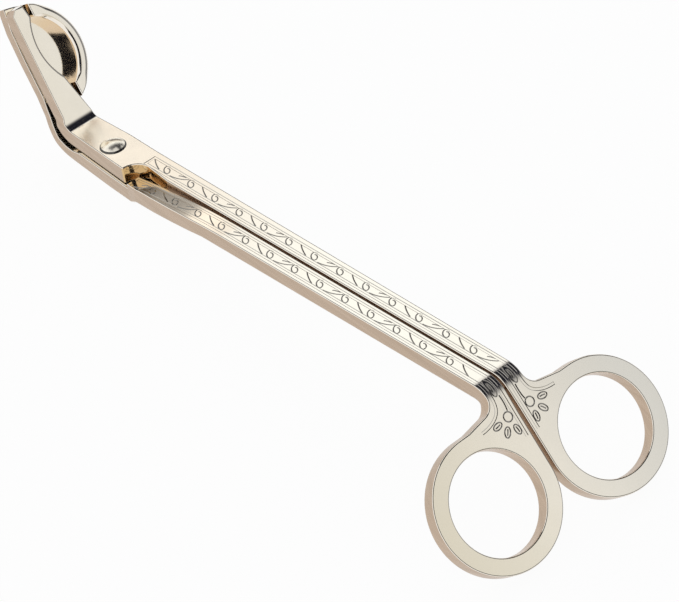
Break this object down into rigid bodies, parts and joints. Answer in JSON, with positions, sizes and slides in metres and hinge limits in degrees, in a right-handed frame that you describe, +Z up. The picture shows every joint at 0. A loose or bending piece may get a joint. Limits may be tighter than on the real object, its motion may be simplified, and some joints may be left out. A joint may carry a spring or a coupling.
{
  "type": "wick trimmer",
  "caption": "Long-handled scissors for trimming candle wicks: angled blade over a round catching tray, engraved shanks, folded finger loops, one domed pivot rivet",
  "frame": {"origin": "on the surface the tool rests on, under the middle of its length and width", "axes": "+X from the blade end to the finger loops, +Y toward the loop of the blade lever, +Z up, away from the surface it rests on"},
  "size_m": [0.1904, 0.0608, 0.0323],
  "materials": {
    "plated_steel": "polished champagne plating over steel bar",
    "rivet_steel": "polished plating"
  },
  "bodies": {
    "tray_side": {"tray_lever": "plated_steel", "pivot_rivet": "rivet_steel"},
    "blade_side": {"blade_lever": "plated_steel"}
  },
  "joints": [
    {"name": "pivot", "type": "hinge", "parent": "tray_side", "child": "blade_side", "pos_m": [-0.05733, 0.001, 0.00822], "axis": [-0.134, 0, 0.991], "range_deg": [0, 40]}
  ]
}
